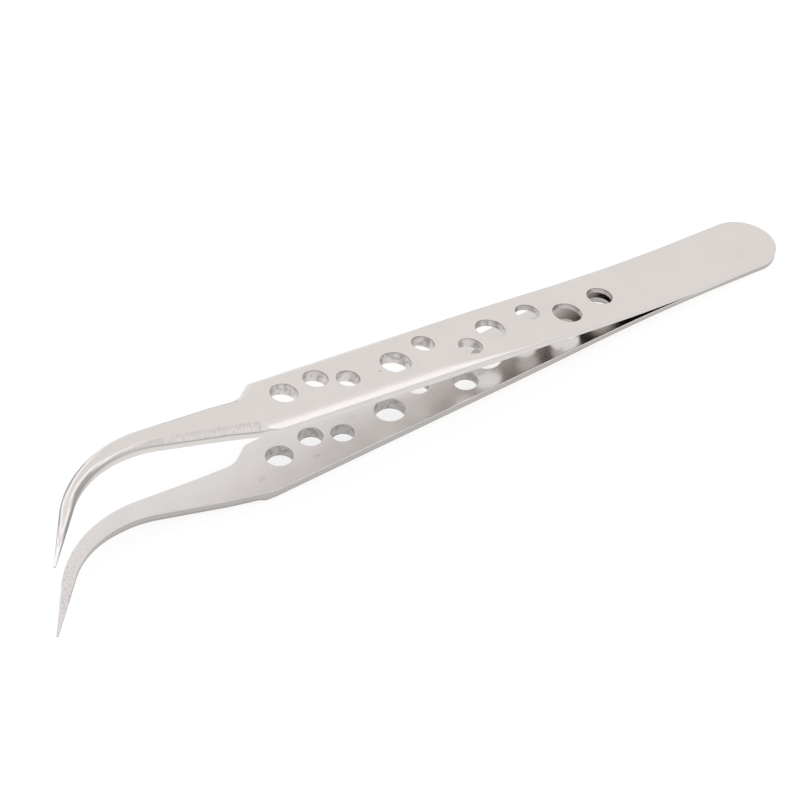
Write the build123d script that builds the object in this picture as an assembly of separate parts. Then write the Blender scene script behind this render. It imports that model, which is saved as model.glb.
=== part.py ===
from build123d import *
import os
from math import atan, cos, degrees, radians, sin, tan

# Vented tweezers with curved fine points: two ground steel leaves, welded face to face at the round heel.
# Millimetres. The leaves are drawn mirrored about the plane z = 0, with the heel at +X, the points at -X
# and the points curving towards -Y. The finished pair is then laid on its lower leaf.
# A distance is measured along the leaf from the end of the heel, a setback from the tip, and an offset
# from the middle line.

overall_length = 120.0

# Side view of one leaf: half the gap between the leaves
parting_distance = 24.4
parting_radius = 260.0
bend_setback = 28.5
bend_half_gap = 5.17
bend_radius = 120.0
point_half_gap = 5.74

# Thickness of one leaf: thin where it springs, full where it is held, then drawn out to the point
heel_thickness = 0.65
spring_length = 22.6
spring_end_thickness = 1.1
swell_length = 14.5
grip_thickness = 1.85
point_root_setback = 8.0
point_root_thickness = 1.2
tip_thickness = 0.25
blend_radius = 60.0

# Plan of one leaf: two straight sides that narrow towards the front
heel_width = 10.0
far_front_offset = 4.65
near_front_offset = 4.4

# Plan of the far side: a shoulder, its foot, the neck and the outside of the curved point
shoulder_setback = 35.3
shoulder_face_radius = 0.3
shoulder_run = 2.7
neck_far_offset = 2.5
foot_radius = 3.0
far_crest = 4.0
far_curve_radius = 16.0

# Plan of the near side: a blunt corner, the neck and the inside of the curved point
near_corner_setback = 34.5
near_corner_radius = 6.0
near_crest = 2.5
near_curve_radius = 13.0

# The point itself: how far it reaches sideways, its direction and taper in degrees, and its width
point_reach = 10.9
point_angle = 53.2
point_taper = 8.4
tip_width = 0.25

# Rounded bevel that is ground along both sides of the outer face. It drops as the point gets thin.
edge_height = 1.05
bevel_width = 1.2
bevel_bulge = 0.12
bevel_overrun = 0.06
bevel_runout = 0.5
bevel_drop_setback = 15.0
bevel_drop = 0.9

# Vent holes: how far behind the shoulder, offset, drill
small_drill = 3.1
middle_drill = 3.3
wide_drill = 3.6
large_drill = 4.1
vent_holes = [
    (54.0, 0.2, wide_drill),
    (47.4, -0.9, large_drill),
    (42.3, 1.45, middle_drill),
    (35.25, 0.45, large_drill),
    (30.4, -1.6, middle_drill),
    (24.7, 1.25, small_drill),
    (19.1, -0.5, large_drill),
    (11.7, -0.55, small_drill),
    (7.9, 1.2, middle_drill),
    (2.75, 0.55, wide_drill),
]

# Room that the cutting shapes need beyond the leaf
clear = 1.0

far_side = 1
near_side = -1
heel_end = overall_length / 2
tip_x = heel_end - overall_length
spring_end_distance = parting_distance + spring_length
grip_start_distance = spring_end_distance + swell_length
bend_distance = overall_length - bend_setback
point_root_distance = overall_length - point_root_setback
shoulder_distance = overall_length - shoulder_setback
near_corner_distance = overall_length - near_corner_setback
bevel_drop_distance = overall_length - bevel_drop_setback
body_rise = bend_half_gap / (bend_distance - parting_distance)
front_rise = (point_half_gap - bend_half_gap) / bend_setback


def place(distance):
    """The x of a point at this distance from the end of the heel."""
    return heel_end - distance


def side_offset(x, side):
    """The y of a leaf's straight side, which narrows evenly from the heel to the shoulder."""
    heel_offset = heel_width / 2
    front_offset = far_front_offset if side == far_side else near_front_offset
    share = (heel_end - x) / shoulder_distance
    return side * (heel_offset + (front_offset - heel_offset) * share)


def half_gap(distance):
    """Half the gap between the leaves, from the parting to the point."""
    if distance < bend_distance:
        return body_rise * (distance - parting_distance)
    return bend_half_gap + front_rise * (distance - bend_distance)


def inner_line():
    """The leaf's inner face, seen from the side, from past the point to past the heel."""
    beyond = overall_length + clear
    return [
        (place(beyond), half_gap(beyond)),
        (place(bend_distance), bend_half_gap),
        (place(parting_distance), 0),
        (place(-clear), 0),
    ]


def outer_point(distance, thickness):
    """A corner of the leaf's outer face, seen from the side."""
    return (place(distance), half_gap(distance) + thickness)


def outer_line():
    """The leaf's outer face, seen from the side, from past the heel to past the point."""
    beyond = overall_length + clear
    thinning = (point_root_thickness - tip_thickness) / point_root_setback
    return [
        (place(-clear), heel_thickness),
        outer_point(parting_distance, heel_thickness),
        outer_point(spring_end_distance, spring_end_thickness),
        outer_point(grip_start_distance, grip_thickness),
        outer_point(bend_distance, grip_thickness),
        outer_point(point_root_distance, point_root_thickness),
        outer_point(beyond, tip_thickness - thinning * clear),
    ]


def side_strip():
    """The bent strip that the leaf is cut from, as thick as the leaf and wider than it."""
    inner = Plane.XZ * FilletPolyline(*inner_line(), radius=[bend_radius, parting_radius])
    outer = Plane.XZ * FilletPolyline(
        *outer_line(), radius=[parting_radius, blend_radius, blend_radius, bend_radius, blend_radius]
    )
    heel = Line(inner @ 1, outer @ 0)
    end = Line(outer @ 1, inner @ 0)
    profile = make_face(inner.edges() + heel.edges() + outer.edges() + end.edges())
    return extrude(profile, amount=heel_width + point_reach, both=True)


def far_corners():
    """Corners of the far side, from the shoulder to the tip."""
    slope = tan(radians(point_angle + point_taper / 2))
    shoulder_x = place(shoulder_distance)
    return [
        (shoulder_x, side_offset(shoulder_x, far_side)),
        (shoulder_x - shoulder_run, neck_far_offset),
        (tip_x + (far_crest + point_reach) / slope, far_crest),
        (tip_x, -point_reach),
    ]


def near_corners():
    """Corners of the near side, from the blunt corner to the tip."""
    slope = tan(radians(point_angle - point_taper / 2))
    direction = radians(point_angle)
    end_x = tip_x + tip_width * sin(direction)
    end_y = -point_reach - tip_width * cos(direction)
    corner_x = place(near_corner_distance)
    return [
        (corner_x, side_offset(corner_x, near_side)),
        (end_x + (near_crest - end_y) / slope, near_crest),
        (end_x, end_y),
    ]


def far_path(start_x):
    """The far side of the plan, from this x to the tip. The shoulder's corner leaves room for the bevel."""
    start = (start_x, side_offset(start_x, far_side))
    shoulder_radius = bevel_width + shoulder_face_radius
    return FilletPolyline(start, *far_corners(), radius=[shoulder_radius, foot_radius, far_curve_radius])


def near_path(start_x):
    """The near side of the plan, from this x to the tip."""
    start = (start_x, side_offset(start_x, near_side))
    return FilletPolyline(start, *near_corners(), radius=[near_corner_radius, near_curve_radius])


def outline_prism():
    """The leaf's plan with its round heel, as a prism that is taller than the leaf."""
    heel_x = heel_end - heel_width / 2
    far = far_path(heel_x)
    near = near_path(heel_x)
    tip = Line(far @ 1, near @ 1)
    heel = ThreePointArc(near @ 0, (heel_end, 0), far @ 0)
    plan = make_face(far.edges() + tip.edges() + near.edges() + heel.edges())
    return extrude(plan, amount=point_half_gap + grip_thickness + clear)


def leaf_plane(distance, rise):
    """A plane through the inner face at this distance, which rises at this rate towards the point."""
    angle = atan(rise)
    return Plane(
        origin=(place(distance), 0, half_gap(distance)),
        x_dir=(cos(angle), 0, -sin(angle)),
        z_dir=(sin(angle), 0, cos(angle)),
    )


def in_plane(plane, shape):
    """A shape drawn over the plan, moved onto a sloping plane."""
    return plane * Pos(-plane.origin.X, 0, 0) * shape


def bevel_section(path, side):
    """What is ground away beside one edge: across runs from the edge inwards, and up from the inner face."""
    top_height = grip_thickness + bevel_overrun
    low = Vector(0, edge_height)
    top = Vector(bevel_width, top_height)
    chord = top - low
    outwards = Vector(-chord.Y, chord.X).normalized()
    bevel = ThreePointArc(low, low + chord * 0.5 + outwards * bevel_bulge, top)
    outside = low - (bevel % 0) * bevel_runout
    above = top_height + clear
    rest = Polyline(top, (bevel_width, above), (outside.X, above), outside, low)
    across_path = Plane(origin=path @ 0, x_dir=(0, -side, 0), z_dir=(-side, 0, 0))
    return across_path * make_face(bevel.edges() + rest.edges())


def bevel_cutter(path, side):
    """The swept shape that leaves a rounded bevel along one side."""
    return sweep(bevel_section(path, side), path=Wire(path.edges()))


def grind_bevels(blank):
    """Bevel both sides of the outer face. The bevels run out where the leaf gets thinner than its edges."""
    parting_reach = parting_radius * tan(atan(body_rise) / 2)
    start_x = place(parting_distance + parting_reach)
    cutters = [bevel_cutter(far_path(start_x), far_side), bevel_cutter(near_path(start_x), near_side)]
    drop_rate = bevel_drop / bevel_drop_setback
    planes = [
        leaf_plane(bend_distance, body_rise),
        leaf_plane(bend_distance, front_rise),
        leaf_plane(bevel_drop_distance, front_rise - drop_rate),
    ]
    for plane in planes:
        for cutter in cutters:
            blank -= in_plane(plane, cutter)
    return blank


def drill_holes(blank):
    """Drill the vent holes square to the leaf."""
    plane = leaf_plane(bend_distance, body_rise)
    depth = grip_thickness + clear
    for behind, offset, drill in vent_holes:
        hole = Pos(place(shoulder_distance - behind), offset, 0) * Cylinder(drill / 2, depth * 2)
        blank -= in_plane(plane, hole)
    return blank


def make_upper_leaf():
    """One leaf, above the plane between the leaves."""
    blank = side_strip() & outline_prism()
    return drill_holes(grind_bevels(blank))


def lay_down(shape):
    """Lay the pair on the lower leaf: on the heel's end and on the belly at the bend."""
    belly = bend_half_gap + grip_thickness - heel_thickness
    return Rot(0, degrees(atan(belly / bend_distance)), 0) * shape


def set_origin(shapes):
    """Put the origin under the middle of the pair, on the surface that it lies on."""
    box = Compound(children=[shape.solid() for shape in shapes]).bounding_box()
    shift = Pos(-box.center().X, -box.center().Y, -box.min.Z)
    return [shift * shape for shape in shapes]


def main():
    upper = make_upper_leaf()
    lower = mirror(upper, about=Plane.XY)
    upper, lower = set_origin([lay_down(upper), lay_down(lower)])
    os.makedirs("parts", exist_ok=True)
    export_step(upper, "parts/upper_leaf.step")
    export_step(lower, "parts/lower_leaf.step")


main()
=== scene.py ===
from math import atan, cos, hypot, pi, radians, sin, tan

import bpy
import numpy as np
from bpy.props import FloatProperty, FloatVectorProperty, PointerProperty
from mathutils import Matrix, Vector
from mathutils.geometry import delaunay_2d_cdt


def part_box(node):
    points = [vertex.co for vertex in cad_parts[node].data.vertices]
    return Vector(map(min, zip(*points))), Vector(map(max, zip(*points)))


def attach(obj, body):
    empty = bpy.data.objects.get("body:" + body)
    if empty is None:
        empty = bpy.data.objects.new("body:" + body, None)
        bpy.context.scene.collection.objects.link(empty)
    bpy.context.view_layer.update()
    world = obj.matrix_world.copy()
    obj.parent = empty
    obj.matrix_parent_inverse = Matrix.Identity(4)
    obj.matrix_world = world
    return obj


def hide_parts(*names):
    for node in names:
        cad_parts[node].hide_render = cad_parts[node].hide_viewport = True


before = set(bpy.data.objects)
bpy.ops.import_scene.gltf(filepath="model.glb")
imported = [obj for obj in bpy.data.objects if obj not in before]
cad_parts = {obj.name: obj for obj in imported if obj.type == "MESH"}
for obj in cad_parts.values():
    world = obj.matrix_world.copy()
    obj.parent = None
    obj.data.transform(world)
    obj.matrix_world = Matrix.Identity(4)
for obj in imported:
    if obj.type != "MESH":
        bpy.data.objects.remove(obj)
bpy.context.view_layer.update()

bl_info = {
    "name": "Vented curved tweezers",
    "version": (1, 0, 0),
    "blender": (4, 5, 0),
    "location": "3D View > Sidebar > Tweezers",
    "description": "Two ground steel leaves with vent holes and curved fine points, and their studio",
    "category": "Object",
}

# The leaf is drawn as the upper one, above the plane between the leaves, in metres. The heel is at +X, the
# tip at -X, and the point curves towards -Y. A distance runs along the leaf from the heel's end, a setback
# from the tip, and an offset from the middle line.

MILLIMETRE = 0.001

# How far behind the shoulder each vent hole lies, its offset and its drill
VENT_HOLES = [
    (0.0540, 0.00020, 0.0036),
    (0.0474, -0.00090, 0.0041),
    (0.0423, 0.00145, 0.0033),
    (0.03525, 0.00045, 0.0041),
    (0.0304, -0.00160, 0.0033),
    (0.0247, 0.00125, 0.0031),
    (0.0191, -0.00050, 0.0041),
    (0.0117, -0.00055, 0.0031),
    (0.0079, 0.00120, 0.0033),
    (0.00275, 0.00055, 0.0036),
]

FAR_SIDE = 1
NEAR_SIDE = -1

# The leaf's finishes, in the order of its material slots
FACE, BEVEL, NECK, EDGE, INNER, DRILLED = range(6)

# Green and blue of the steel for a red of 1
STEEL_WARMTH = (0.955, 0.935)

# The point attribute that is 1 along the top of the edges and of the drilled walls, where a line of painted
# shade runs
SHADE_LINE = "shade_line"

# The point attribute that is 1 where a bevel meets the outer face, for a painted highlight along that ridge
RIDGE_HIGHLIGHT = "ridge"

# Spacing of the points along the side view, along the outline and inside it, and how many go round an arc
# at least and round a hole
PROFILE_STEP = 0.05 * MILLIMETRE
OUTLINE_STEP = 0.25 * MILLIMETRE
GRID_STEP = 0.5 * MILLIMETRE
FEWEST_ARC_POINTS = 4
HOLE_POINTS = 72

# How far the side view is carried on past the leaf's two ends
BEYOND_END = 1 * MILLIMETRE

# Height over which the planes that the bevels are measured from blend
PLANE_BLEND = 0.02 * MILLIMETRE

# How many bevel widths the near side's straight is carried on past the blunt corner
STRAIGHT_BEYOND = 5

# Depths of the rings of points inside an edge, as shares of the rim's radius or of the bevel's width
RIM_RINGS = (0.1, 0.4, 1)
INNER_LAST_RING = 2.5
HOLE_LAST_RING = 3
BEVEL_RINGS = (0.12, 0.28, 0.46, 0.64, 0.80, 0.92, 1.04, 1.18)

# A ring along the outline keeps the points that lie farther from it than this share of the ring's depth
RING_CLEARANCE = 0.98

# How far the rings and the grid keep from other rings, in steps of the grid
RING_MARGIN = 0.1
GRID_MARGIN = 0.45

# The kind of triangulation that gives triangles within the outline, and the distance at which points merge
WITHIN_OUTLINE = 1
MERGE_DISTANCE = 1e-9

# How far around a hole's middle its edge is taken into account
HOLE_SURROUNDINGS = 4 * MILLIMETRE

# The most that a rim's radius and the line of painted shade take of a wall's height
RIM_SHARE = 0.2
SHADE_LINE_SHARE = 0.6

# Length over which the seam's rims grow from nothing, in front of the weld
WELD_FADE = 2 * MILLIMETRE

# The ridge's painted highlight is stretched by this, so that it is full along its middle
RIDGE_HIGHLIGHT_GAIN = 1.8

# Where the finishes and the edges' painted shade change along the leaf, measured from the start of the
# neck's bevel, from the point's root, and for the worn inner face from the heel's end
CURVE_PAST_NECK = 0.010
CURVE_BEFORE_POINT = 0.005
TIP_PAST_POINT = 0.003
# Painted shade on the edges' top line, darker from the neck's bevel to before the point's curve
DARK_LINE_BEFORE_NECK = 0.003
DARK_LINE_PAST_NECK = 0.012
DARK_LINE_BEFORE_POINT = 0.004
PATCH_BEFORE_POINT = 0.004
PATCH_PAST_POINT = 0.001
WORN_FROM = 0.050
WORN_TO = 0.076

# Finer and finer layers in all grain, and each grain's number to the metre along the leaf, across it and up
GRAIN_DETAIL = 3
CLOUDS = (160, 160, 160)
STAINS = (420, 420, 420)
SPECKS = (900, 900, 900)
FINE_GRAIN = (2500, 2500, 2500)
BEVEL_STREAKS = (400, 4000, 4000)
BEVEL_GRAIN = (900, 6000, 6000)
NECK_STREAKS = (9000, 1400, 1400)
NECK_PITS = (4200, 2600, 2600)
EDGE_BANDS = (500, 500, 3500)
EDGE_GRAIN = (1500, 1500, 7000)
# Speckle that breaks up the painted shade on the edges at the tip
TIP_SHADE_SPECKLE = (3000, 3000, 3000)
TIP_SCRATCHES = (5200, 2400, 2400)
DRILLED_STAINS = (1500, 1500, 1500)
DRILL_RINGS = (1500, 1500, 6000)

# The colour sockets of the Mix node, which share their names with its number sockets
MIX_FIRST_COLOUR = 6
MIX_SECOND_COLOUR = 7
MIX_COLOUR_RESULT = 2

# Sides of the round floor, the camera's sensor in millimetres, and its nearest and farthest sight
FLOOR_SIDES = 96
SENSOR_WIDTH = 36
CLIP_START = 0.01
CLIP_END = 20


def length(name, description, default):
    """A size in metres."""
    return FloatProperty(name=name, description=description, default=default, unit="LENGTH", precision=5)


def turn(name, description, default):
    """An angle, given in degrees."""
    return FloatProperty(name=name, description=description, default=radians(default), subtype="ANGLE")


def colour(name, description, default):
    """A colour in linear light."""
    return FloatVectorProperty(
        name=name, description=description, default=default, subtype="COLOR", size=3, min=0, max=1
    )


def share(name, description, default):
    """A number from 0 to 1."""
    return FloatProperty(name=name, description=description, default=default, min=0, max=1, subtype="FACTOR")


class TweezersLeafSizes(bpy.types.PropertyGroup):
    """The sizes of one leaf."""

    overall: length("Length", "From the heel's end to the tip", 0.120)
    parting: length("Parting", "Distance at which the leaves part", 0.0244)
    parting_radius: length("Parting radius", "Radius of the leaf where it parts", 0.260)
    bend_setback: length("Bend setback", "Setback of the bend in the side view", 0.0285)
    bend_half_gap: length("Half gap at bend", "Half the gap between the leaves at the bend", 0.00517)
    bend_radius: length("Bend radius", "Radius of the bend in the side view", 0.120)
    point_half_gap: length("Half gap at points", "Half the gap between the tips", 0.00574)
    heel_thickness: length("Heel thickness", "Thickness of the welded heel of one leaf", 0.00065)
    spring_length: length("Spring length", "Length of the thin part that springs", 0.0226)
    spring_thickness: length("Spring thickness", "Thickness at the front of the spring", 0.0011)
    swell_length: length("Swell length", "Length over which the leaf gets full", 0.0145)
    grip_thickness: length("Grip thickness", "Full thickness of the leaf", 0.00185)
    point_root_setback: length("Point root setback", "Setback at which the point starts", 0.008)
    point_root_thickness: length("Point root thickness", "Thickness where the point starts", 0.0012)
    tip_thickness: length("Tip thickness", "Thickness of the tip", 0.00025)
    blend_radius: length("Blend radius", "Radius between the tapers of the outer face", 0.060)
    heel_width: length("Heel width", "Width of the leaf at the heel", 0.010)
    far_front_offset: length("Far front offset", "Half width on the far side at the shoulder", 0.00465)
    near_front_offset: length("Near front offset", "Half width on the near side at the shoulder", 0.0044)
    shoulder_setback: length("Shoulder setback", "Setback of the shoulder", 0.0353)
    shoulder_radius: length("Shoulder radius", "Radius of the shoulder's corner", 0.0015)
    shoulder_run: length("Shoulder run", "Length over which the shoulder falls to the neck", 0.0027)
    neck_far_offset: length("Neck offset", "Offset of the neck at the shoulder's foot", 0.0025)
    foot_radius: length("Foot radius", "Radius of the shoulder's foot", 0.003)
    far_crest: length("Far crest", "Height of the corner that the outside of the point turns about", 0.004)
    far_curve_radius: length("Far curve radius", "Radius of the outside of the point", 0.016)
    near_corner_setback: length("Near corner setback", "Setback of the blunt corner", 0.0345)
    near_corner_radius: length("Near corner radius", "Radius of the blunt corner", 0.006)
    near_crest: length("Near crest", "Height of the corner that the inside of the point turns about", 0.0025)
    near_curve_radius: length("Near curve radius", "Radius of the inside of the point", 0.013)
    point_reach: length("Point reach", "How far the tip lies beside the middle line", 0.0109)
    point_angle: turn("Point angle", "Direction of the point", 53.2)
    point_taper: turn("Point taper", "Angle between the two sides of the point", 8.4)
    tip_width: length("Tip width", "Width of the tip", 0.00025)
    edge_height: length("Edge height", "Height of the leaf's edge below its bevel", 0.00105)
    bevel_width: length("Bevel width", "Width of the ground bevel", 0.0012)
    bevel_bulge: length("Bevel bulge", "How far the bevel stands out from straight", 0.00012)
    bevel_overrun: length("Bevel overrun", "How far the bevel's top lies above the outer face", 0.00006)
    bevel_drop_setback: length("Bevel drop setback", "Setback at which the bevel starts to drop", 0.015)
    bevel_drop: length("Bevel drop", "How far the bevel drops up to the tip", 0.0009)
    bevel_softness: length("Bevel softness", "Height over which the bevel's top is softened", 0.00012)
    neck_bevel_setback: length("Neck bevel setback", "Setback at which the neck's own bevel starts", 0.0324)
    neck_bevel_slope: FloatProperty(
        name="Neck bevel slope", description="How steeply the neck's bevel is let into the edge",
        default=0.35,
    )
    near_bevel_turn: length("Near bevel turn", "How far the near bevel turns in past the corner", 0.0006)
    # The ridge's brightness is a painted highlight
    ridge_highlight_height: length("Ridge height", "How far the bright ridge reaches up and down", 0.00013)
    rim_radius: length("Rim radius", "Radius of the polished rims", 0.00006)
    # The dark line below the bevel is painted shade
    shade_line_height: length("Painted shade line height", "Height of the dark line below the bevel", 0.00030)
    weld_length: length("Weld length", "Length of the heel whose seam is ground flush", 0.0115)


class TweezersSteelFinish(bpy.types.PropertyGroup):
    """The finish of the steel."""

    face_colour: colour("Outer face", "Colour of the satin outer face", (0.72, 0.675, 0.65))
    ground_colour: colour("Ground bevel", "Colour of the ground bevels", (0.74, 0.70, 0.68))
    neck_colour: colour("Neck bevel", "Colour of the coarsely ground bevel of the neck", (0.60, 0.57, 0.55))
    edge_colour: colour("Ground edge", "Colour of the ground edges", (0.70, 0.67, 0.645))
    inner_colour: colour("Inner face", "Colour of the lapped inner face", (0.70, 0.67, 0.655))
    drilled_colour: colour("Drilled wall", "Colour of the walls of the vent holes", (0.74, 0.71, 0.695))
    # The lower leaf's darker edges and drilled walls are painted shade: the same steel as the upper leaf's,
    # in less light
    lower_painted_shade: share("Lower painted shade", "How light the lower leaf's edges and drilled walls are", 0.68)
    face_roughness: share("Outer roughness", "Roughness of the outer face", 0.38)
    ground_roughness: share("Ground roughness", "Roughness of the ground bevels", 0.30)
    neck_roughness: share("Neck roughness", "Roughness of the neck's bevel", 0.45)
    edge_roughness: share("Edge roughness", "Roughness of the ground edges", 0.35)
    inner_roughness: share("Inner roughness", "Roughness of the inner face", 0.17)
    drilled_roughness: share("Drilled roughness", "Roughness of the vent holes' walls", 0.42)


class TweezersStudio(bpy.types.PropertyGroup):
    """The camera, the floor and the light."""

    azimuth: turn("Azimuth", "Direction of the camera round the object", -35.876)
    elevation: turn("Elevation", "Height of the camera above the horizon", 44.218)
    roll: turn("Roll", "Turn of the camera about its own axis", 1.571)
    distance: length("Distance", "From the camera to the point that it aims at", 0.28574)
    aim: FloatVectorProperty(
        name="Aim", description="The point that the camera aims at",
        default=(-0.004145, 0.002556, 0.002952), subtype="TRANSLATION", unit="LENGTH", precision=5,
    )
    lens: FloatProperty(
        name="Lens", description="Focal length for a sensor 36 mm wide", default=99.0, unit="CAMERA"
    )
    floor_radius: length("Floor radius", "Radius of the pale floor", 3.0)
    floor_light: share("Floor light", "How much of the floor's white doesn't depend on the room", 0.78)
    floor_tone: share("Floor tone", "How much of the room's light the floor gives back", 0.26)
    room_light: FloatProperty(name="Room light", description="Strength of the white room", default=1.0)
    key_power: FloatProperty(
        name="Key light", description="Power of the soft key light", default=0.30, unit="POWER"
    )
    key_size: length("Key size", "Width of the soft key light", 0.55)
    key_place: FloatVectorProperty(
        name="Key place", description="Where the key light hangs", default=(0.25, -0.45, 0.32),
        subtype="TRANSLATION", unit="LENGTH",
    )


def unit(vector):
    """The vector at length one."""
    return vector / np.linalg.norm(vector)


def rounded_line(corners, radii, step):
    """Points about a step apart along straights with rounded corners between them, and their directions."""
    corners = [np.array(corner, float) for corner in corners]
    points, directions = [], []

    def add_straight(start, end):
        count = max(1, round(np.linalg.norm(end - start) / step))
        for k in range(count):
            points.append(start + (end - start) * k / count)
            directions.append(unit(end - start))

    start = corners[0]
    for before, corner, after, radius in zip(corners, corners[1:], corners[2:], radii):
        arriving, leaving = unit(corner - before), unit(after - corner)
        bend = np.arctan2(arriving[0] * leaving[1] - arriving[1] * leaving[0], arriving @ leaving)
        reach = radius * tan(abs(bend) / 2)
        arc_start = corner - arriving * reach
        add_straight(start, arc_start)
        centre = arc_start + np.sign(bend) * radius * np.array([-arriving[1], arriving[0]])
        count = max(FEWEST_ARC_POINTS, round(abs(bend) * radius / step))
        for k in range(count):
            c, s = cos(bend * k / count), sin(bend * k / count)
            swing = np.array([[c, -s], [s, c]])
            points.append(centre + swing @ (arc_start - centre))
            directions.append(swing @ arriving)
        start = corner + leaving * reach
    add_straight(start, corners[-1])
    points.append(corners[-1])
    directions.append(unit(corners[-1] - start))
    return np.array(points), np.array(directions)


def soft_lowest(a, b, softness):
    """The lower of two heights, blended smoothly where they meet."""
    mix = np.clip(0.5 + 0.5 * (b - a) / softness, 0, 1)
    return b + (a - b) * mix - softness * mix * (1 - mix)


def distance_to_line(points, line):
    """How far each point lies from a line of many short straights."""
    starts, runs = line[:-1], np.diff(line, axis=0)
    squares = (runs ** 2).sum(1)
    nearest = np.empty(len(points))
    chunk = 1000
    for first in range(0, len(points), chunk):
        towards = points[first:first + chunk, None, :] - starts[None]
        along = np.clip((towards * runs).sum(2) / squares, 0, 1)
        gaps = towards - along[:, :, None] * runs
        nearest[first:first + chunk] = np.sqrt((gaps ** 2).sum(2)).min(1)
    return nearest


class Leaf:
    """The form of one leaf, worked out from its sizes."""

    def __init__(self, sizes):
        self.sizes = s = sizes
        self.heel_end = s.overall / 2
        self.tip_x = -s.overall / 2
        self.bend = s.overall - s.bend_setback
        self.shoulder = s.overall - s.shoulder_setback
        self.body_rise = s.bend_half_gap / (self.bend - s.parting)
        self.front_rise = (s.point_half_gap - s.bend_half_gap) / s.bend_setback
        self.body_angle = atan(self.body_rise)
        self.bevel_start = s.parting + s.parting_radius * tan(self.body_angle / 2)
        self.heel_x = self.heel_end - s.heel_width / 2
        self.corner_x = self.place(s.overall - s.near_corner_setback)
        self.neck_x = self.place(s.overall - s.neck_bevel_setback)
        self.point_x = self.place(s.overall - s.point_root_setback)
        self.inner = self.side_line(self.inner_corners(), [s.bend_radius, s.parting_radius])
        outer_radii = [s.blend_radius, s.bend_radius, s.blend_radius, s.blend_radius, s.parting_radius]
        self.outer = self.side_line(self.outer_corners(), outer_radii)
        self.far, self.far_directions = self.far_path()
        self.near, self.near_directions = self.near_path()

    def place(self, distance):
        """The x of a point at this distance from the heel's end."""
        return self.heel_end - distance

    def half_gap(self, distance):
        """Half the gap between the leaves, from the parting to the tip."""
        if distance < self.bend:
            return self.body_rise * (distance - self.sizes.parting)
        return self.sizes.bend_half_gap + self.front_rise * (distance - self.bend)

    def inner_corners(self):
        """The inner face seen from the side, from past the tip to past the heel."""
        s = self.sizes
        beyond = s.overall + BEYOND_END
        return [
            (self.place(beyond), self.half_gap(beyond)),
            (self.place(self.bend), s.bend_half_gap),
            (self.place(s.parting), 0),
            (self.place(-BEYOND_END), 0),
        ]

    def outer_corners(self):
        """The outer face seen from the side, from past the tip to past the heel."""
        s = self.sizes
        beyond = s.overall + BEYOND_END
        spring_end = s.parting + s.spring_length
        grip_start = spring_end + s.swell_length
        point_root = s.overall - s.point_root_setback
        thinning = (s.point_root_thickness - s.tip_thickness) / s.point_root_setback
        rows = [
            (beyond, s.tip_thickness - thinning * BEYOND_END),
            (point_root, s.point_root_thickness),
            (self.bend, s.grip_thickness),
            (grip_start, s.grip_thickness),
            (spring_end, s.spring_thickness),
            (s.parting, s.heel_thickness),
        ]
        corners = [(self.place(distance), self.half_gap(distance) + thick) for distance, thick in rows]
        return corners + [(self.place(-BEYOND_END), s.heel_thickness)]

    def side_line(self, corners, radii):
        """A line seen from the side, as its x and z."""
        points, _ = rounded_line(corners, radii, PROFILE_STEP)
        return points[:, 0], points[:, 1]

    def inner_height(self, x):
        """Height of the inner face."""
        return np.interp(x, *self.inner)

    def face_height(self, points):
        """Height of the outer face without its bevels, at points of the plan."""
        return np.interp(points[:, 0], *self.outer)

    def bevel_height(self, points):
        """Height that the bevels are ground down to.

        The near side's bevel stops at the blunt corner, and the neck's own bevel is let in just after it.
        """
        s = self.sizes
        x = points[:, 0]
        lift = np.clip(x - self.neck_x, 0, None) * s.neck_bevel_slope
        far = self.bevel_profile(distance_to_line(points, self.far))
        body = self.bevel_profile(distance_to_line(points, self.near_straight()))
        neck = self.bevel_profile(distance_to_line(points, self.near)) + lift
        near = soft_lowest(body, neck, PLANE_BLEND)
        return self.bevel_base(x) + soft_lowest(far, near, s.bevel_softness)

    def near_straight(self):
        """The near side's straight, carried on past the blunt corner by as much as the bevel needs."""
        s = self.sizes
        beyond_x = self.corner_x - STRAIGHT_BEYOND * s.bevel_width
        return np.array([
            (self.heel_end, self.side_offset(self.heel_end, NEAR_SIDE)),
            (self.corner_x, self.side_offset(self.corner_x, NEAR_SIDE)),
            (beyond_x, self.side_offset(beyond_x, NEAR_SIDE) + s.near_bevel_turn),
        ])

    def outer_height(self, points):
        """Height of the outer face with its bevels, at points of the plan."""
        return soft_lowest(self.face_height(points), self.bevel_height(points), self.sizes.bevel_softness)

    def bevel_base(self, x):
        """Height of the surface that the bevels are measured from: the inner face, dropping at the point."""
        s = self.sizes
        distance = np.maximum(self.heel_end - x, self.bevel_start)
        drop_distance = s.overall - s.bevel_drop_setback
        drop_rate = s.bevel_drop / s.bevel_drop_setback
        body = self.body_rise * (distance - s.parting)
        front = s.bend_half_gap + self.front_rise * (distance - self.bend)
        drop = self.half_gap(drop_distance) + (self.front_rise - drop_rate) * (distance - drop_distance)
        return soft_lowest(soft_lowest(body, front, PLANE_BLEND), drop, PLANE_BLEND)

    def bevel_profile(self, across):
        """Height of the bevel, this far in from the edge: an arc through the edge, the bulge and the top."""
        s = self.sizes
        rise = s.grip_thickness + s.bevel_overrun - s.edge_height
        chord = hypot(s.bevel_width, rise)
        radius = (chord ** 2 / 4 + s.bevel_bulge ** 2) / (2 * s.bevel_bulge)
        inwards = radius - s.bevel_bulge
        centre_across = s.bevel_width / 2 + inwards * rise / chord
        centre_height = s.edge_height + rise / 2 - inwards * s.bevel_width / chord
        reach = np.clip(centre_across - across, 0, radius)
        return centre_height + np.sqrt(radius ** 2 - reach ** 2)

    def side_offset(self, x, side):
        """The y of the leaf's straight side."""
        s = self.sizes
        front_offset = s.far_front_offset if side == FAR_SIDE else s.near_front_offset
        part = (self.heel_end - x) / self.shoulder
        return side * (s.heel_width / 2 + (front_offset - s.heel_width / 2) * part)

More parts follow.
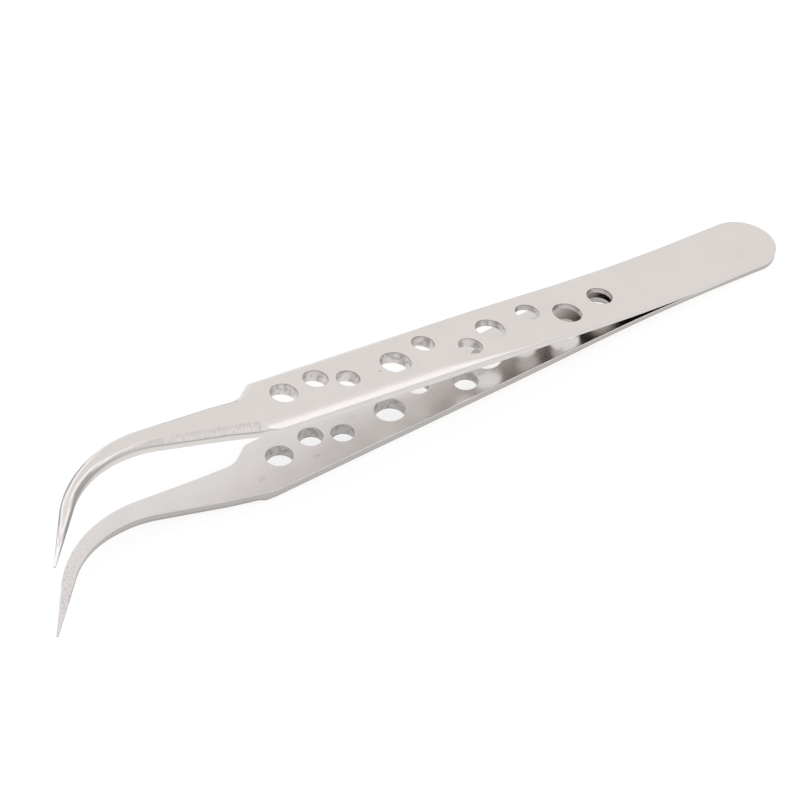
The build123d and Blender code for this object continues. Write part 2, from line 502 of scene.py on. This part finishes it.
    def far_path(self):
        """The far side of the plan, from the heel's round end to the tip."""
        s = self.sizes
        slope = tan(s.point_angle + s.point_taper / 2)
        shoulder_x = self.place(self.shoulder)
        corners = [
            (self.heel_x, self.side_offset(self.heel_x, FAR_SIDE)),
            (shoulder_x, self.side_offset(shoulder_x, FAR_SIDE)),
            (shoulder_x - s.shoulder_run, s.neck_far_offset),
            (self.tip_x + (s.far_crest + s.point_reach) / slope, s.far_crest),
            (self.tip_x, -s.point_reach),
        ]
        return rounded_line(corners, [s.shoulder_radius, s.foot_radius, s.far_curve_radius], OUTLINE_STEP)

    def near_path(self):
        """The near side of the plan, from the heel's round end to the tip."""
        s = self.sizes
        slope = tan(s.point_angle - s.point_taper / 2)
        end_x = self.tip_x + s.tip_width * sin(s.point_angle)
        end_y = -s.point_reach - s.tip_width * cos(s.point_angle)
        corners = [
            (self.heel_x, self.side_offset(self.heel_x, NEAR_SIDE)),
            (self.corner_x, self.side_offset(self.corner_x, NEAR_SIDE)),
            (end_x + (s.near_crest - end_y) / slope, s.near_crest),
            (end_x, end_y),
        ]
        return rounded_line(corners, [s.near_corner_radius, s.near_curve_radius], OUTLINE_STEP)

    def heel_arc(self):
        """The round heel, from the near side to the far side."""
        radius = self.sizes.heel_width / 2
        near_y = self.side_offset(self.heel_x, NEAR_SIDE)
        far_y = self.side_offset(self.heel_x, FAR_SIDE)
        middle = (near_y + far_y) / 2
        half = (far_y - near_y) / 2
        count = round(pi * radius / OUTLINE_STEP)
        angles = np.linspace(-pi / 2, pi / 2, count + 1)[1:-1]
        points = np.c_[self.heel_x + radius * np.cos(angles), middle + half * np.sin(angles)]
        directions = np.c_[-np.sin(angles), np.cos(angles)]
        return points, directions

    def plan(self):
        """The whole outline of the plan with the directions that point into the leaf, once around."""
        heel, heel_directions = self.heel_arc()
        points = np.vstack([self.far, self.near[::-1], heel])
        directions = np.vstack([self.far_directions, -self.near_directions[::-1], heel_directions])
        inwards = np.c_[-directions[:, 1], directions[:, 0]]
        return points, inwards

    def hole_ring(self, hole, grow, outer):
        """A ring round a vent hole on the inner or the outer face, seen from above."""
        behind, offset, drill = hole
        bend_x = self.place(self.bend)
        along = self.place(self.shoulder - behind) - bend_x
        centre = bend_x + along * cos(self.body_angle)
        if outer:
            thickness = np.interp(centre, *self.outer) - self.inner_height(centre)
            centre += thickness * sin(self.body_angle) * cos(self.body_angle)
        angles = np.arange(HOLE_POINTS) * 2 * pi / HOLE_POINTS
        radius = drill / 2 + grow
        x = centre + radius * np.cos(angles) * cos(self.body_angle)
        return np.c_[x, offset + radius * np.sin(angles)]


class Sheet:
    """One face of the leaf as points of the plan and the edges that its triangles keep."""

    def __init__(self):
        self.points = []
        self.edges = []
        self.count = 0

    def add_points(self, points):
        """Adds points and returns their numbers."""
        self.points.append(points)
        numbers = np.arange(self.count, self.count + len(points))
        self.count += len(points)
        return numbers

    def add_loop(self, points, kept=None):
        """Adds a closed line of points. The ones that are kept and follow each other are joined by edges."""
        kept = np.ones(len(points), bool) if kept is None else kept
        numbers = np.full(len(points), -1)
        numbers[kept] = self.add_points(points[kept])
        following = np.roll(numbers, -1)
        joined = (numbers >= 0) & (following >= 0)
        self.edges += list(zip(numbers[joined].tolist(), following[joined].tolist()))
        return numbers


def closed_line(loop):
    """A loop's points with the first one once more at the end."""
    return np.vstack([loop, loop[:1]])


def inside(points, outline):
    """Which points lie inside a closed outline."""
    found = np.zeros(len(points), bool)
    for start, end in zip(outline, np.roll(outline, -1, axis=0)):
        crosses = (start[1] > points[:, 1]) != (end[1] > points[:, 1])
        if start[1] == end[1]:
            continue
        level = (points[:, 1] - start[1]) / (end[1] - start[1])
        found ^= crosses & (points[:, 0] < start[0] + level * (end[0] - start[0]))
    return found


def clear_of_holes(points, holes, margin):
    """Which points lie outside the last ring of every hole by more than the margin."""
    clear = np.ones(len(points), bool)
    for rings in holes:
        centre = rings[0].mean(0)
        reach = np.linalg.norm(rings[-1] - centre, axis=1).max()
        clear &= np.linalg.norm(points - centre, axis=1) > reach + margin
    return clear


def grid_points(outline, border, holes):
    """A grid in staggered rows inside the outline, clear of its border and of the holes' rings."""
    low, high = outline.min(0), outline.max(0)
    xs, ys = np.meshgrid(np.arange(low[0], high[0], GRID_STEP), np.arange(low[1], high[1], GRID_STEP))
    xs[1::2] += GRID_STEP / 2
    points = np.c_[xs.ravel(), ys.ravel()]
    points = points[inside(points, outline)]
    margin = GRID_MARGIN * GRID_STEP
    points = points[distance_to_line(points, closed_line(outline)) > border + margin]
    return points[clear_of_holes(points, holes, margin)]


def face_sheet(outline, inwards, depths, holes):
    """The triangles of one face: rings along the outline and the holes, and a grid between them.

    Gives the points, the triangles, and the loops of the outline and of the holes.
    """
    sheet = Sheet()
    loops = [sheet.add_loop(outline)]
    for depth in depths:
        ring = outline + inwards * depth
        kept = distance_to_line(ring, closed_line(outline)) > depth * RING_CLEARANCE
        kept &= clear_of_holes(ring, holes, RING_MARGIN * GRID_STEP)
        sheet.add_loop(ring, kept)
    for rings in holes:
        loops.append(sheet.add_loop(rings[0]))
        for ring in rings[1:]:
            sheet.add_loop(ring)
    sheet.add_points(grid_points(outline, depths[-1], holes))
    given = [Vector(point) for point in np.vstack(sheet.points)]
    found = delaunay_2d_cdt(given, sheet.edges, [], WITHIN_OUTLINE, MERGE_DISTANCE)
    found_points, _, found_triangles, origins, _, _ = found
    points = np.array([tuple(point) for point in found_points])
    triangles = np.array([list(triangle) for triangle in found_triangles])
    number = np.full(sheet.count, -1)
    for new, originals in enumerate(origins):
        number[originals] = new
    middles = points[triangles].mean(1)
    solid = np.ones(len(triangles), bool)
    for rings in holes:
        solid &= ~inside(middles, rings[0])
    return points, triangles[solid], [number[loop] for loop in loops]


def distance_to_edges(points, outline, holes):
    """How far each point of a face lies from the outline or from a hole's edge, whichever is nearer."""
    depth = distance_to_line(points, closed_line(outline))
    for rings in holes:
        around = np.linalg.norm(points - rings[0].mean(0), axis=1) < HOLE_SURROUNDINGS
        depth[around] = np.minimum(depth[around], distance_to_line(points[around], closed_line(rings[0])))
    return depth


def rim_drop(depth, radius):
    """How far a rounded rim has fallen, this far in from its edge."""
    inner = np.clip(radius - depth, 0, radius)
    return radius - np.sqrt(radius ** 2 - inner ** 2)


def outer_finishes(leaf, middles):
    """The finish of each triangle of the outer face, from the triangle's middle."""
    ground = leaf.bevel_height(middles) < leaf.face_height(middles)
    bevels = np.where(middles[:, 0] < leaf.neck_x, NECK, BEVEL)
    return np.where(ground, bevels, FACE).tolist()


def ridge_highlight_mark(leaf, points):
    """How strong the painted highlight on the ridge between a bevel and the outer face is, at points of the
    plan.
    """
    apart = np.abs(leaf.bevel_height(points) - leaf.face_height(points))
    return np.clip((1 - apart / leaf.sizes.ridge_highlight_height) * RIDGE_HIGHLIGHT_GAIN, 0, 1)


def wall_rows(vertices, top, bottom, rim, line_height):
    """Adds three rows to a wall between two loops, and gives all its rows from the bottom to the top.

    They lie a rim's radius above the bottom, the painted shade line's height below the top and a rim's
    radius below the top. Where the wall is low, they keep to a share of its height.
    """
    heights = vertices[top] - vertices[bottom]
    tall = np.linalg.norm(heights, axis=1)[:, None]
    rim_level = np.minimum(rim / tall, RIM_SHARE)
    line_level = np.minimum(line_height / tall, SHADE_LINE_SHARE)
    rows = [bottom]
    for level in (rim_level, 1 - line_level, 1 - rim_level):
        rows.append(np.arange(len(vertices), len(vertices) + len(top)))
        vertices = np.vstack([vertices, vertices[bottom] + heights * level])
    return vertices, rows + [top]


def leaf_mesh(leaf):
    """The upper leaf's vertices, its faces, the finish of each face, and the marks on its vertices."""
    s = leaf.sizes
    rim = s.rim_radius
    outline, inwards = leaf.plan()
    rim_depths = [part * rim for part in RIM_RINGS]
    bevel_depths = [part * s.bevel_width for part in BEVEL_RINGS]
    grows = [0, *rim_depths, HOLE_LAST_RING * rim]
    weld_x = leaf.place(s.weld_length)
    vertices, faces, finishes, loops = [], [], [], []
    first = 0
    for outer in (True, False):
        depths = rim_depths + (bevel_depths if outer else [INNER_LAST_RING * rim])
        holes = [[leaf.hole_ring(hole, grow, outer) for grow in grows] for hole in VENT_HOLES]
        points, triangles, face_loops = face_sheet(outline, inwards, depths, holes)
        x = points[:, 0]
        outer_z, inner_z = leaf.outer_height(points), leaf.inner_height(x)
        radius = np.minimum(rim, (outer_z - inner_z) * RIM_SHARE)
        drop = rim_drop(distance_to_edges(points, outline, holes), radius)
        if outer:
            z = outer_z - drop
            finishes += outer_finishes(leaf, points[triangles].mean(1))
        else:
            z = inner_z + drop * np.clip((weld_x - x) / WELD_FADE, 0, 1)
            triangles = triangles[:, ::-1]
            finishes += [INNER] * len(triangles)
        vertices.append(np.c_[points, z])
        faces += (triangles + first).tolist()
        loops.append([loop + first for loop in face_loops])
        first += len(points)
    vertices = np.vstack(vertices)
    ridge = ridge_highlight_mark(leaf, vertices[:, :2])
    outer_loops, inner_loops = loops
    wall_finishes = [EDGE] + [DRILLED] * len(VENT_HOLES)
    # The vertices that carry the line of painted shade at the top of the walls
    line = []
    for top, bottom, finish in zip(outer_loops, inner_loops, wall_finishes):
        vertices, rows = wall_rows(vertices, top, bottom, rim, s.shade_line_height)
        line += [*rows[-2], *rows[-1]]
        for below, above in zip(rows, rows[1:]):
            sides = zip(below, np.roll(below, -1), np.roll(above, -1), above)
            faces += [side[::-1] if finish == DRILLED else side for side in sides]
            finishes += [finish] * len(below)
    marks = {SHADE_LINE: np.zeros(len(vertices)), RIDGE_HIGHLIGHT: np.zeros(len(vertices))}
    marks[SHADE_LINE][line] = 1
    marks[RIDGE_HIGHLIGHT][:len(ridge)] = ridge
    return vertices, faces, finishes, marks


def new_group(name, inputs, outputs):
    """An empty shader node group with these sockets, and its two ends."""
    tree = bpy.data.node_groups.new(name, "ShaderNodeTree")
    for socket, kind in inputs:
        tree.interface.new_socket(socket, in_out="INPUT", socket_type="NodeSocket" + kind)
    for socket, kind in outputs:
        tree.interface.new_socket(socket, in_out="OUTPUT", socket_type="NodeSocket" + kind)
    return tree, tree.nodes.new("NodeGroupInput"), tree.nodes.new("NodeGroupOutput")


def grain_group():
    """Grain as a mask from 0 to 1 and a normal. The scale along each axis is set in grains a metre."""
    tree, start, end = new_group(
        "Grain",
        [("Scale", "Vector"), ("Low", "Float"), ("High", "Float"), ("Depth", "Float")],
        [("Mask", "Float"), ("Normal", "Vector")],
    )
    nodes, links = tree.nodes, tree.links
    coordinates = nodes.new("ShaderNodeTexCoord")
    spread = nodes.new("ShaderNodeVectorMath")
    spread.operation = "MULTIPLY"
    noise = nodes.new("ShaderNodeTexNoise")
    noise.inputs["Scale"].default_value = 1
    noise.inputs["Detail"].default_value = GRAIN_DETAIL
    limits = nodes.new("ShaderNodeMapRange")
    bump = nodes.new("ShaderNodeBump")
    links.new(coordinates.outputs["Object"], spread.inputs[0])
    links.new(start.outputs["Scale"], spread.inputs[1])
    links.new(spread.outputs[0], noise.inputs["Vector"])
    links.new(noise.outputs["Fac"], limits.inputs["Value"])
    links.new(start.outputs["Low"], limits.inputs["From Min"])
    links.new(start.outputs["High"], limits.inputs["From Max"])
    links.new(noise.outputs["Fac"], bump.inputs["Height"])
    links.new(start.outputs["Depth"], bump.inputs["Distance"])
    links.new(limits.outputs["Result"], end.inputs["Mask"])
    links.new(bump.outputs["Normal"], end.inputs["Normal"])
    return tree


def front_group():
    """A mask that rises from 0 to 1 from one place along the leaf to another."""
    tree, start, end = new_group("Front", [("From", "Float"), ("To", "Float")], [("Mask", "Float")])
    nodes, links = tree.nodes, tree.links
    coordinates = nodes.new("ShaderNodeTexCoord")
    split = nodes.new("ShaderNodeSeparateXYZ")
    limits = nodes.new("ShaderNodeMapRange")
    links.new(coordinates.outputs["Object"], split.inputs[0])
    links.new(split.outputs["X"], limits.inputs["Value"])
    links.new(start.outputs["From"], limits.inputs["From Min"])
    links.new(start.outputs["To"], limits.inputs["From Max"])
    links.new(limits.outputs["Result"], end.inputs["Mask"])
    return tree


def line_group(name, attribute):
    """A mask read from a point attribute, for a line of painted shade or of painted highlight along an edge.
    """
    tree, _, end = new_group(name, [], [("Mask", "Float")])
    line = tree.nodes.new("ShaderNodeAttribute")
    line.attribute_name = attribute
    tree.links.new(line.outputs["Fac"], end.inputs["Mask"])
    return tree


class Effects:
    """The shader node groups that the steels share, and the stretches of the leaf over which they change.

    A stretch goes from the place where its mask is 0 to the place where it is 1.
    """

    def __init__(self, leaf):
        self.grain = grain_group()
        self.front = front_group()
        # The line of painted shade along the tops of the walls
        self.shade_line = line_group("Painted shade line", SHADE_LINE)
        # The painted highlight along the ridge
        self.ridge = line_group("Ridge highlight", RIDGE_HIGHLIGHT)
        neck_x, point_x = leaf.neck_x, leaf.point_x
        self.curve = {"From": neck_x - CURVE_PAST_NECK, "To": point_x + CURVE_BEFORE_POINT}
        self.point = {"From": point_x, "To": leaf.tip_x}
        # Stretches of the edges' painted shade: at the tip, and from the neck's bevel to before the curve
        self.tip = {"From": point_x, "To": point_x - TIP_PAST_POINT}
        self.past_body = {"From": neck_x + DARK_LINE_BEFORE_NECK, "To": neck_x}
        self.before_curve = {"From": point_x + DARK_LINE_BEFORE_POINT, "To": neck_x - DARK_LINE_PAST_NECK}
        self.front_half = {"From": leaf.place(WORN_FROM), "To": leaf.place(WORN_TO)}
        self.tip_patch = {"From": point_x + PATCH_BEFORE_POINT, "To": point_x - PATCH_PAST_POINT}


class Steel:
    """A steel finish that is built up from a base and marks on it."""

    def __init__(self, name, colour_value, roughness):
        self.material = bpy.data.materials.new(name)
        self.material.use_nodes = True
        self.nodes, self.links = self.material.node_tree.nodes, self.material.node_tree.links
        self.shader = self.nodes["Principled BSDF"]
        self.shader.inputs["Metallic"].default_value = 1.0
        self.shader.inputs["Base Color"].default_value = (*colour_value, 1)
        self.shader.inputs["Roughness"].default_value = roughness

    def use(self, tree, **values):
        """Adds a node group with these values."""
        node = self.nodes.new("ShaderNodeGroup")
        node.node_tree = tree
        for socket, value in values.items():
            node.inputs[socket].default_value = value
        return node

    def mask(self, tree, **values):
        """Adds a node group with these values and gives its mask."""
        return self.use(tree, **values).outputs["Mask"]

    def both(self, first, second):
        """The product of two masks."""
        product = self.nodes.new("ShaderNodeMath")
        product.operation = "MULTIPLY"
        self.links.new(first, product.inputs[0])
        self.links.new(second, product.inputs[1])
        return product.outputs[0]

    def mark(self, mask, tone, strength, roughness=None):
        """Where the mask is 1, brings the colour this far towards a grey tone, and sets the roughness."""
        mix = self.nodes.new("ShaderNodeMix")
        mix.data_type = "RGBA"
        amount = self.nodes.new("ShaderNodeMath")
        amount.operation = "MULTIPLY"
        amount.inputs[1].default_value = strength
        self.links.new(mask, amount.inputs[0])
        self.links.new(amount.outputs[0], mix.inputs["Factor"])
        self.carry(self.shader.inputs["Base Color"], mix.inputs[MIX_FIRST_COLOUR])
        green, blue = STEEL_WARMTH
        mix.inputs[MIX_SECOND_COLOUR].default_value = (tone, tone * green, tone * blue, 1)
        self.links.new(mix.outputs[MIX_COLOUR_RESULT], self.shader.inputs["Base Color"])
        if roughness is not None:
            blend = self.nodes.new("ShaderNodeMix")
            self.links.new(mask, blend.inputs["Factor"])
            self.carry(self.shader.inputs["Roughness"], blend.inputs["A"])
            blend.inputs["B"].default_value = roughness
            self.links.new(blend.outputs["Result"], self.shader.inputs["Roughness"])

    def carry(self, held, socket):
        """Hands what a socket of the shader holds on to another node's socket."""
        if held.is_linked:
            self.links.new(held.links[0].from_socket, socket)
        else:
            socket.default_value = held.default_value

    def roughen(self, grain):
        """Gives the surface a grain's normal."""
        self.links.new(grain.outputs["Normal"], self.shader.inputs["Normal"])


def satin_face(effects, finish):
    """The outer face: clouds and a few dark specks, a paler point, and a painted highlight on the ridge
    round its curve.
    """
    steel = Steel("Satin outer face", finish.face_colour, finish.face_roughness)
    steel.mark(steel.mask(effects.grain, Scale=CLOUDS, Low=0.4, High=0.7), tone=0.66, strength=0.3)
    steel.mark(steel.mask(effects.grain, Scale=SPECKS, Low=0.75, High=0.78), tone=0.2, strength=0.7)
    steel.mark(steel.mask(effects.front, **effects.point), tone=0.84, strength=0.8, roughness=0.5)
    # Painted highlight along the ridge round the curve
    ridge = steel.both(steel.mask(effects.front, **effects.curve), steel.mask(effects.ridge))
    steel.mark(ridge, tone=1.0, strength=1.0, roughness=0.3)
    steel.roughen(steel.use(effects.grain, Scale=FINE_GRAIN, Depth=2e-6))
    return steel.material


def ground_bevel(effects, finish):
    """The bevels: fine streaks along the leaf."""
    steel = Steel("Ground bevel", finish.ground_colour, finish.ground_roughness)
    steel.mark(steel.mask(effects.grain, Scale=BEVEL_STREAKS, Low=0.4, High=0.7), tone=0.64, strength=0.3)
    steel.roughen(steel.use(effects.grain, Scale=BEVEL_GRAIN, Depth=1.5e-6))
    return steel.material


def coarse_neck(effects, finish):
    """The neck's bevel: coarse streaks across the leaf, then darker with a painted highlight on the ridge
    round the curve.
    """
    steel = Steel("Coarsely ground neck", finish.neck_colour, finish.neck_roughness)
    streaks = steel.use(effects.grain, Scale=NECK_STREAKS, Low=0.42, High=0.66, Depth=9e-6)
    steel.mark(streaks.outputs["Mask"], tone=0.80, strength=0.55)
    steel.mark(steel.mask(effects.grain, Scale=NECK_PITS, Low=0.56, High=0.70), tone=0.36, strength=0.5)
    curve = steel.mask(effects.front, **effects.curve)
    steel.mark(curve, tone=0.34, strength=0.9, roughness=0.42)
    # Painted highlight along the ridge round the curve
    steel.mark(steel.both(curve, steel.mask(effects.ridge)), tone=1.0, strength=1.0, roughness=0.3)
    steel.roughen(streaks)
    return steel.material


def ground_edge(name, effects, finish, shade):
    """The leaf's sides: painted shade below the bevel, darker along the neck, and speckled at the tip."""
    # A shade below 1 makes a darker copy of the edge: painted shade
    steel = Steel(name, [tone * shade for tone in finish.edge_colour], finish.edge_roughness)
    bands = steel.mask(effects.grain, Scale=EDGE_BANDS, Low=0.4, High=0.7)
    steel.mark(bands, tone=0.62 * shade, strength=0.4)
    # Painted shade along the top of the edge, below the bevel
    line = steel.mask(effects.shade_line)
    steel.mark(line, tone=0.58 * shade, strength=0.6)
    # Darker painted shade on that line along the neck, up to the curve
    past_body = steel.mask(effects.front, **effects.past_body)
    before_curve = steel.mask(effects.front, **effects.before_curve)
    steel.mark(steel.both(steel.both(line, past_body), before_curve), tone=0.30, strength=0.8)
    # Painted shade on the edge at the tip, broken up by speckle
    tip = steel.mask(effects.front, **effects.tip)
    speckle = steel.mask(effects.grain, Scale=TIP_SHADE_SPECKLE, Low=0.30, High=0.50)
    steel.mark(steel.both(tip, speckle), tone=0.08, strength=0.9, roughness=0.55)
    steel.roughen(steel.use(effects.grain, Scale=EDGE_GRAIN, Depth=2e-6))
    return steel.material


def lapped_inner(effects, finish):
    """The inner face: half a mirror at the heel, duller towards the front, stained, scratched at the tip."""
    steel = Steel("Lapped inner face", finish.inner_colour, finish.inner_roughness)
    steel.mark(steel.mask(effects.front, **effects.front_half), tone=0.80, strength=0.5, roughness=0.46)
    steel.mark(steel.mask(effects.grain, Scale=CLOUDS, Low=0.45, High=0.75), tone=0.60, strength=0.35)
    steel.mark(steel.mask(effects.grain, Scale=STAINS, Low=0.66, High=0.74), tone=0.38, strength=0.4)
    tip_patch = steel.mask(effects.front, **effects.tip_patch)
    steel.mark(tip_patch, tone=0.80, strength=0.7, roughness=0.5)
    scratches = steel.mask(effects.grain, Scale=TIP_SCRATCHES, Low=0.50, High=0.62)
    steel.mark(steel.both(tip_patch, scratches), tone=0.52, strength=0.5)
    steel.roughen(steel.use(effects.grain, Scale=FINE_GRAIN, Depth=1e-6))
    return steel.material


def drilled_wall(name, effects, finish, shade):
    """The walls of the vent holes: stains, the drill's rings and a line of painted shade at the top."""
    # A shade below 1 makes a darker copy of the wall: painted shade
    steel = Steel(name, [tone * shade for tone in finish.drilled_colour], finish.drilled_roughness)
    stains = steel.mask(effects.grain, Scale=DRILLED_STAINS, Low=0.5, High=0.62)
    steel.mark(stains, tone=0.42 * shade, strength=0.7)
    # Painted shade along the top of the wall
    steel.mark(steel.mask(effects.shade_line), tone=0.30, strength=0.5)
    steel.roughen(steel.use(effects.grain, Scale=DRILL_RINGS, Depth=5e-6))
    return steel.material


def leaf_steels(effects, finish):
    """The materials of the upper and of the lower leaf, each in the order of the finishes.

    They share all but the edges and the drilled walls, whose copies on the lower leaf carry painted shade.
    """
    full, shade = 1.0, finish.lower_painted_shade
    upper = {
        FACE: satin_face(effects, finish),
        BEVEL: ground_bevel(effects, finish),
        NECK: coarse_neck(effects, finish),
        EDGE: ground_edge("Ground edge", effects, finish, full),
        INNER: lapped_inner(effects, finish),
        DRILLED: drilled_wall("Drilled wall", effects, finish, full),
    }
    lower = dict(upper)
    # The lower leaf's edges and drilled walls carry painted shade
    lower[EDGE] = ground_edge("Ground edge in painted shade", effects, finish, shade)
    lower[DRILLED] = drilled_wall("Drilled wall in painted shade", effects, finish, shade)
    return list(upper.values()), list(lower.values())


def lay_down(leaf, vertices):
    """The points turned as the pair lies: on the heel's end and on the belly at the bend."""
    s = leaf.sizes
    belly = s.bend_half_gap + s.grip_thickness - s.heel_thickness
    tilt = np.array(Matrix.Rotation(atan(belly / leaf.bend), 3, "Y"))
    return vertices @ tilt.T


def make_leaf(context, name, points, faces, finishes, marks, steels):
    """The piece that shows one leaf."""
    mesh = bpy.data.meshes.new(name + "_leaf_ground")
    mesh.from_pydata(points.tolist(), [], faces)
    for steel in steels:
        mesh.materials.append(steel)
    mesh.polygons.foreach_set("material_index", finishes)
    mesh.polygons.foreach_set("use_smooth", [True] * len(faces))
    for mark, values in marks.items():
        mesh.attributes.new(mark, "FLOAT", "POINT").data.foreach_set("value", values)
    mesh.update()
    piece = bpy.data.objects.new(name + "_leaf_ground", mesh)
    context.scene.collection.objects.link(piece)
    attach(piece, "root")
    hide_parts(name + "_leaf")


class TWEEZERS_OT_leaves(bpy.types.Operator):
    """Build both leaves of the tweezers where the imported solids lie"""

    bl_idname = "tweezers.leaves"
    bl_label = "Leaves"
    bl_options = {"REGISTER", "UNDO"}

    def execute(self, context):
        leaf = Leaf(context.scene.tweezers_leaf)
        vertices, faces, finishes, marks = leaf_mesh(leaf)
        upper = lay_down(leaf, vertices)
        lower = lay_down(leaf, vertices * [1, 1, -1])
        lower_faces = [face[::-1] for face in faces]
        low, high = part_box("lower_leaf")
        drawn_low, drawn_high = lower.min(0), lower.max(0)
        shift = np.array([high[0] - drawn_high[0], high[1] - drawn_high[1], low[2] - drawn_low[2]])
        upper_steels, lower_steels = leaf_steels(Effects(leaf), context.scene.tweezers_finish)
        make_leaf(context, "upper", upper + shift, faces, finishes, marks, upper_steels)
        make_leaf(context, "lower", lower + shift, lower_faces, finishes, marks, lower_steels)
        return {"FINISHED"}


class TWEEZERS_OT_stage(bpy.types.Operator):
    """Set up the pale floor, the soft light and the camera"""

    bl_idname = "tweezers.stage"
    bl_label = "Stage"
    bl_options = {"REGISTER", "UNDO"}

    def execute(self, context):
        studio = context.scene.tweezers_studio
        context.scene.view_settings.view_transform = "Standard"
        make_floor(context, studio)
        make_world(context, studio)
        make_key(context, studio)
        make_camera(context, studio)
        return {"FINISHED"}


def seen_directly(nodes, links):
    """A mask that is 1 for what the camera sees, and for what shows in metal and through glass."""
    path = nodes.new("ShaderNodeLightPath")
    total = path.outputs["Is Camera Ray"]
    for kind in ("Is Glossy Ray", "Is Transmission Ray"):
        add = nodes.new("ShaderNodeMath")
        add.operation = "MAXIMUM"
        links.new(total, add.inputs[0])
        links.new(path.outputs[kind], add.inputs[1])
        total = add.outputs[0]
    return total


def make_floor(context, studio):
    """A round pale floor at the height that the tweezers lie on."""
    angles = [2 * pi * k / FLOOR_SIDES for k in range(FLOOR_SIDES)]
    rim = [(studio.floor_radius * cos(angle), studio.floor_radius * sin(angle), 0) for angle in angles]
    mesh = bpy.data.meshes.new("floor")
    mesh.from_pydata(rim, [], [list(range(FLOOR_SIDES))])
    floor = bpy.data.objects.new("floor", mesh)
    context.scene.collection.objects.link(floor)
    material = bpy.data.materials.new("Pale floor")
    material.use_nodes = True
    nodes, links = material.node_tree.nodes, material.node_tree.links
    nodes.clear()
    matt = nodes.new("ShaderNodeBsdfDiffuse")
    matt.inputs["Color"].default_value = (studio.floor_tone, studio.floor_tone, studio.floor_tone, 1)
    glow = nodes.new("ShaderNodeEmission")
    strength = nodes.new("ShaderNodeMath")
    strength.operation = "MULTIPLY"
    strength.inputs[1].default_value = studio.floor_light
    links.new(seen_directly(nodes, links), strength.inputs[0])
    links.new(strength.outputs[0], glow.inputs["Strength"])
    both = nodes.new("ShaderNodeAddShader")
    links.new(matt.outputs[0], both.inputs[0])
    links.new(glow.outputs[0], both.inputs[1])
    output = nodes.new("ShaderNodeOutputMaterial")
    links.new(both.outputs[0], output.inputs["Surface"])
    mesh.materials.append(material)


def make_world(context, studio):
    """A white room."""
    world = bpy.data.worlds.new("White room")
    world.use_nodes = True
    background = world.node_tree.nodes["Background"]
    background.inputs["Color"].default_value = (1, 1, 1, 1)
    background.inputs["Strength"].default_value = studio.room_light
    context.scene.world = world


def make_key(context, studio):
    """A wide soft light in front, which the near bevels show."""
    light = bpy.data.lights.new("key", "AREA")
    light.shape = "DISK"
    light.size = studio.key_size
    light.energy = studio.key_power
    lamp = bpy.data.objects.new("key", light)
    lamp.location = studio.key_place
    lamp.rotation_mode = "QUATERNION"
    lamp.rotation_quaternion = (-Vector(studio.key_place)).to_track_quat("-Z", "Y")
    context.scene.collection.objects.link(lamp)


def make_camera(context, studio):
    """The camera at the photograph's viewing angle."""
    data = bpy.data.cameras.new("camera")
    data.sensor_width = SENSOR_WIDTH
    data.lens = studio.lens
    data.clip_start = CLIP_START
    data.clip_end = CLIP_END
    camera = bpy.data.objects.new("camera", data)
    a, e = studio.azimuth, studio.elevation
    back = Vector((sin(a) * cos(e), -cos(a) * cos(e), sin(e)))
    level_right = Vector((cos(a), sin(a), 0))
    level_up = back.cross(level_right)
    right = level_right * cos(studio.roll) + level_up * sin(studio.roll)
    up = back.cross(right)
    turned = Matrix((right, up, back)).transposed()
    camera.matrix_world = Matrix.Translation(Vector(studio.aim) + back * studio.distance) @ turned.to_4x4()
    context.scene.collection.objects.link(camera)
    context.scene.camera = camera


class TWEEZERS_PT_panel(bpy.types.Panel):
    """The tweezers' operators and sizes"""

    bl_idname = "TWEEZERS_PT_panel"
    bl_label = "Curved tweezers"
    bl_space_type = "VIEW_3D"
    bl_region_type = "UI"
    bl_category = "Tweezers"

    def draw(self, context):
        column = self.layout.column()
        column.operator(TWEEZERS_OT_leaves.bl_idname)
        column.operator(TWEEZERS_OT_stage.bl_idname)
        scene = context.scene
        for group in (scene.tweezers_leaf, scene.tweezers_finish, scene.tweezers_studio):
            column.separator()
            for name in group.__annotations__:
                column.prop(group, name)


CLASSES = [
    TweezersLeafSizes,
    TweezersSteelFinish,
    TweezersStudio,
    TWEEZERS_OT_leaves,
    TWEEZERS_OT_stage,
    TWEEZERS_PT_panel,
]


def register():
    for item in CLASSES:
        bpy.utils.register_class(item)
    bpy.types.Scene.tweezers_leaf = PointerProperty(type=TweezersLeafSizes)
    bpy.types.Scene.tweezers_finish = PointerProperty(type=TweezersSteelFinish)
    bpy.types.Scene.tweezers_studio = PointerProperty(type=TweezersStudio)


def unregister():
    del bpy.types.Scene.tweezers_leaf
    del bpy.types.Scene.tweezers_finish
    del bpy.types.Scene.tweezers_studio
    for item in reversed(CLASSES):
        bpy.utils.unregister_class(item)


def main():
    register()
    bpy.ops.tweezers.leaves()
    bpy.ops.tweezers.stage()


if __name__ == "__main__":
    main()
